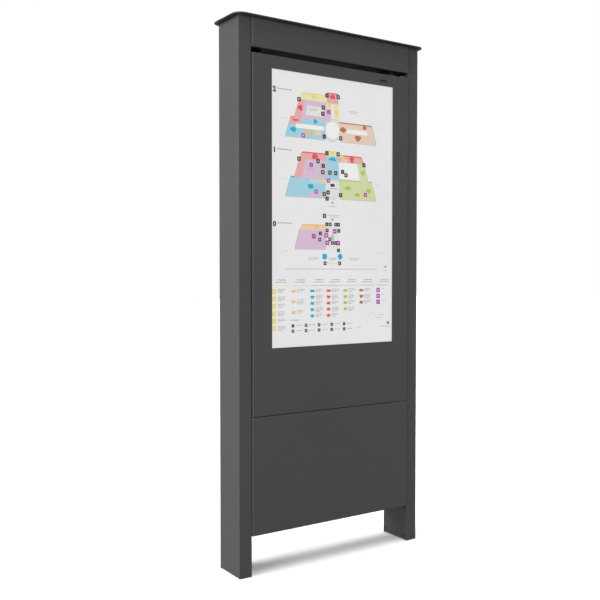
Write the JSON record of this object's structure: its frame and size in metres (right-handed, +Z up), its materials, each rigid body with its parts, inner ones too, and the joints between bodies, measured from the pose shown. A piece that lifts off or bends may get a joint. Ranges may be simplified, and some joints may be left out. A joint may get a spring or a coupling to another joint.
{
  "type": "touchscreen kiosk",
  "caption": "Free-standing information kiosk: portrait touchscreen in a hinged front door between folded steel posts, under an overhanging flat cap, with a rear service door.",
  "frame": {"origin": "on the floor, at the centre of the footprint", "axes": "+Z up; the screen faces -Y; +X to the right of someone who faces the screen"},
  "size_m": [0.932, 0.206, 2.144],
  "materials": {
    "powder_coat": "fine-texture powder coat, dark grey, matt",
    "zinc_plate": "bright zinc-plated sheet steel",
    "black_screws": "black oxide screws",
    "stainless": "satin stainless steel",
    "bronze": "sintered bronze",
    "rubber_seal": "matt EPDM rubber",
    "foam_tape": "black acrylic foam tape",
    "black_plastic": "moulded glass-filled plastic",
    "grey_plastic": "light grey moulded plastic",
    "red_plastic": "red moulded plastic",
    "black_aluminium": "black anodised aluminium",
    "cable_jacket": "soft PVC jacket",
    "cover_glass": "laminated touch glass",
    "sensor_lens": "smoked acrylic lens",
    "display_face": null,
    "circuit_board": "green solder mask",
    "filter_fibre": "white non-woven filter mat"
  },
  "bodies": {
    "root": {"left_post": "powder_coat", "right_post": "powder_coat", "left_base_plate": "zinc_plate", "right_base_plate": "zinc_plate", "left_foot_cover": "powder_coat", "right_foot_cover": "powder_coat", "foot_cover_screws": "black_screws", "head_plates": "powder_coat", "top_cap": "powder_coat", "cap_screws": "black_screws", "header_panel": "powder_coat", "rear_header_panel": "powder_coat", "lower_panel": "powder_coat", "panel_fixing_screws": "black_screws", "bottom_tray": "powder_coat", "upper_cross_rail": "powder_coat", "middle_cross_rail": "powder_coat", "lower_cross_rail": "powder_coat", "upper_pivot_brackets": "powder_coat", "lower_front_pivot_bracket": "powder_coat", "lower_rear_pivot_bracket": "powder_coat", "pivot_pins": "stainless", "front_door_stop": "powder_coat", "front_door_seal": "rubber_seal", "rear_door_stop": "powder_coat", "rear_door_seal": "rubber_seal", "left_fan_housing": "black_plastic", "right_fan_housing": "black_plastic", "fan_tray": "powder_coat", "equipment_plate": "zinc_plate", "isolator_box": "grey_plastic", "power_supply": "zinc_plate", "media_player": "black_aluminium", "supply_cable": "cable_jacket", "player_cable": "cable_jacket", "cable_gland": "black_plastic"},
    "front_door": {"front_door_skin": "powder_coat", "sensor_window": "sensor_lens", "touch_glass": "cover_glass", "glass_bonding_tape": "foam_tape", "display_panel": "display_face", "display_chassis": "zinc_plate", "display_rails": "zinc_plate", "display_driver_board": "circuit_board", "touch_controller_board": "circuit_board", "front_pivot_bushes": "bronze", "front_latch_housings": "black_plastic"},
    "rear_door": {"rear_door_skin": "powder_coat", "rear_door_stiffeners": "zinc_plate", "filter_frame": "black_plastic", "filter_mat": "filter_fibre", "rear_pivot_bushes": "bronze", "rear_lock_housings": "stainless"},
    "upper_front_latch": {"upper_front_latch_turn": "stainless"},
    "lower_front_latch": {"lower_front_latch_turn": "stainless"},
    "upper_rear_lock": {"upper_rear_lock_barrel": "stainless"},
    "lower_rear_lock": {"lower_rear_lock_barrel": "stainless"},
    "left_fan": {"left_fan_rotor": "black_plastic"},
    "right_fan": {"right_fan_rotor": "black_plastic"},
    "isolator": {"isolator_rocker": "red_plastic"}
  },
  "joints": [
    {"name": "front_door_swing", "type": "hinge", "parent": "root", "child": "front_door", "pos_m": [0.3655, -0.073, 1.3], "axis": [0, 0, 1], "range_deg": [0, 100]},
    {"name": "rear_door_swing", "type": "hinge", "parent": "root", "child": "rear_door", "pos_m": [-0.3655, 0.073, 1.08], "axis": [0, 0, 1], "range_deg": [0, 100]},
    {"name": "upper_front_latch_rotation", "type": "hinge", "parent": "front_door", "child": "upper_front_latch", "pos_m": [-0.3475, -0.06, 1.64], "axis": [0, -1, 0], "range_deg": [0, 90]},
    {"name": "lower_front_latch_rotation", "type": "hinge", "parent": "front_door", "child": "lower_front_latch", "pos_m": [-0.3475, -0.06, 1], "axis": [0, -1, 0], "range_deg": [0, 90]},
    {"name": "upper_rear_lock_rotation", "type": "hinge", "parent": "rear_door", "child": "upper_rear_lock", "pos_m": [0.3475, 0.06, 1.64], "axis": [0, 1, 0], "range_deg": [0, 90]},
    {"name": "lower_rear_lock_rotation", "type": "hinge", "parent": "rear_door", "child": "lower_rear_lock", "pos_m": [0.3475, 0.06, 0.5], "axis": [0, 1, 0], "range_deg": [0, 90]},
    {"name": "left_fan_spin", "type": "hinge", "parent": "root", "child": "left_fan", "pos_m": [-0.15, 0, 1.98], "axis": [0, 0, 1], "continuous": true},
    {"name": "right_fan_spin", "type": "hinge", "parent": "root", "child": "right_fan", "pos_m": [0.15, 0, 1.98], "axis": [0, 0, 1], "continuous": true},
    {"name": "isolator_rocker_tilt", "type": "hinge", "parent": "root", "child": "isolator", "pos_m": [-0.245, 0.028, 0.405], "axis": [1, 0, 0], "range_deg": [0, 24]}
  ]
}
